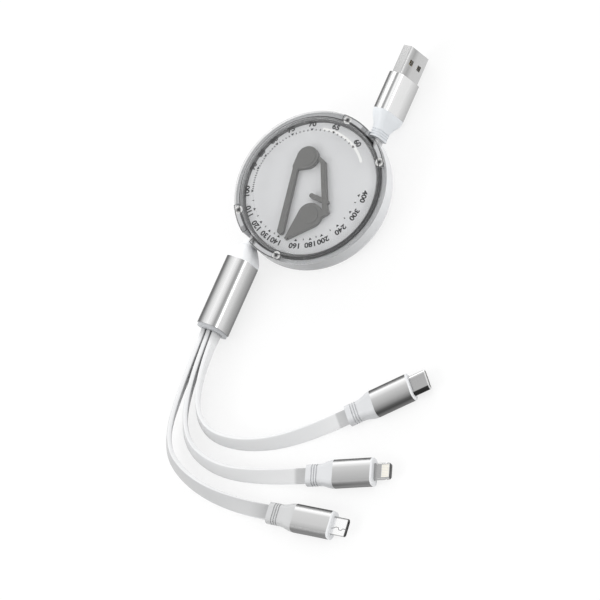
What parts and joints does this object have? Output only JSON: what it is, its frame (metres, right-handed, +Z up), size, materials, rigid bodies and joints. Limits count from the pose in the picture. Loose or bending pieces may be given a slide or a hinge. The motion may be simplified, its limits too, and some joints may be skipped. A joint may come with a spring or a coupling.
{
  "type": "retractable multi charging cable",
  "caption": "Round reel case with a clear dial cover: a wide plug pulls out on one side, a splitter with flat cords to small plugs on the other.",
  "frame": {"origin": "centre of the case's flat underside", "axes": "+Z up along the reel's axis, +X the way the wide plug leaves the case"},
  "size_m": [0.1917, 0.11, 0.0146],
  "materials": {
    "white_shell": "glossy white",
    "clear": "clear, polished",
    "dial_grey": "satin light grey",
    "dark_grey": "satin dark grey",
    "lever_grey": "satin grey",
    "steel": "plated",
    "reel_grey": "satin",
    "cord_white": "satin white",
    "boot_white": "satin white",
    "alloy": "satin anodised",
    "inlay_white": "satin",
    "black_plastic": "satin",
    "gold": "plated"
  },
  "bodies": {
    "case": {"rear_shell": "white_shell", "clear_cover": "clear", "lug_screws": "steel", "deck_plate": "dark_grey", "dial_plate": "dial_grey", "upper_lever": "lever_grey", "lower_lever": "lever_grey"},
    "reel": {"reel": "reel_grey", "wound_cord": "cord_white", "clock_spring": "steel"},
    "type_a_end": {"type_a_lead": "cord_white", "type_a_boot": "boot_white", "type_a_sleeve": "alloy", "type_a_shell": "steel", "type_a_tongue": "inlay_white", "type_a_contacts": "gold"},
    "tail_end": {"tail_lead": "cord_white", "splitter_boot": "boot_white", "splitter_sleeve": "alloy", "splitter_cap": "boot_white", "type_c_cord": "cord_white", "type_c_boot": "boot_white", "type_c_sleeve": "alloy", "type_c_collar": "boot_white", "type_c_shell": "steel", "type_c_insulator": "black_plastic", "type_c_contacts": "gold", "eight_pin_cord": "cord_white", "eight_pin_boot": "boot_white", "eight_pin_sleeve": "alloy", "eight_pin_collar": "boot_white", "eight_pin_tab": "steel", "eight_pin_inlay": "inlay_white", "eight_pin_contacts": "gold", "micro_b_cord": "cord_white", "micro_b_boot": "boot_white", "micro_b_sleeve": "alloy", "micro_b_collar": "boot_white", "micro_b_shell": "steel", "micro_b_tongue": "black_plastic", "micro_b_contacts": "gold", "micro_b_latches": "steel"}
  },
  "joints": [
    {"name": "reel_turn", "type": "hinge", "parent": "case", "child": "reel", "pos_m": [0, 0, 0], "axis": [0, 0, 1], "range_deg": [0, 1440], "stiffness_Nm_per_rad": 0.0001, "springref_deg": -3437.75, "deforming": ["clock_spring"]},
    {"name": "type_a_pull", "type": "slide", "parent": "case", "child": "type_a_end", "axis": [1, 0, 0], "range_m": [0, 0.4448], "deforming": ["type_a_lead"]},
    {"name": "tail_pull", "type": "slide", "parent": "case", "child": "tail_end", "axis": [-1, 0, 0], "range_m": [0, 0.446], "deforming": ["tail_lead"]}
  ],
  "couplings": [
    {"joint": "reel_turn", "follows": "type_a_pull", "rad_per_m": 56.5},
    {"joint": "tail_pull", "follows": "type_a_pull", "ratio": 1}
  ]
}
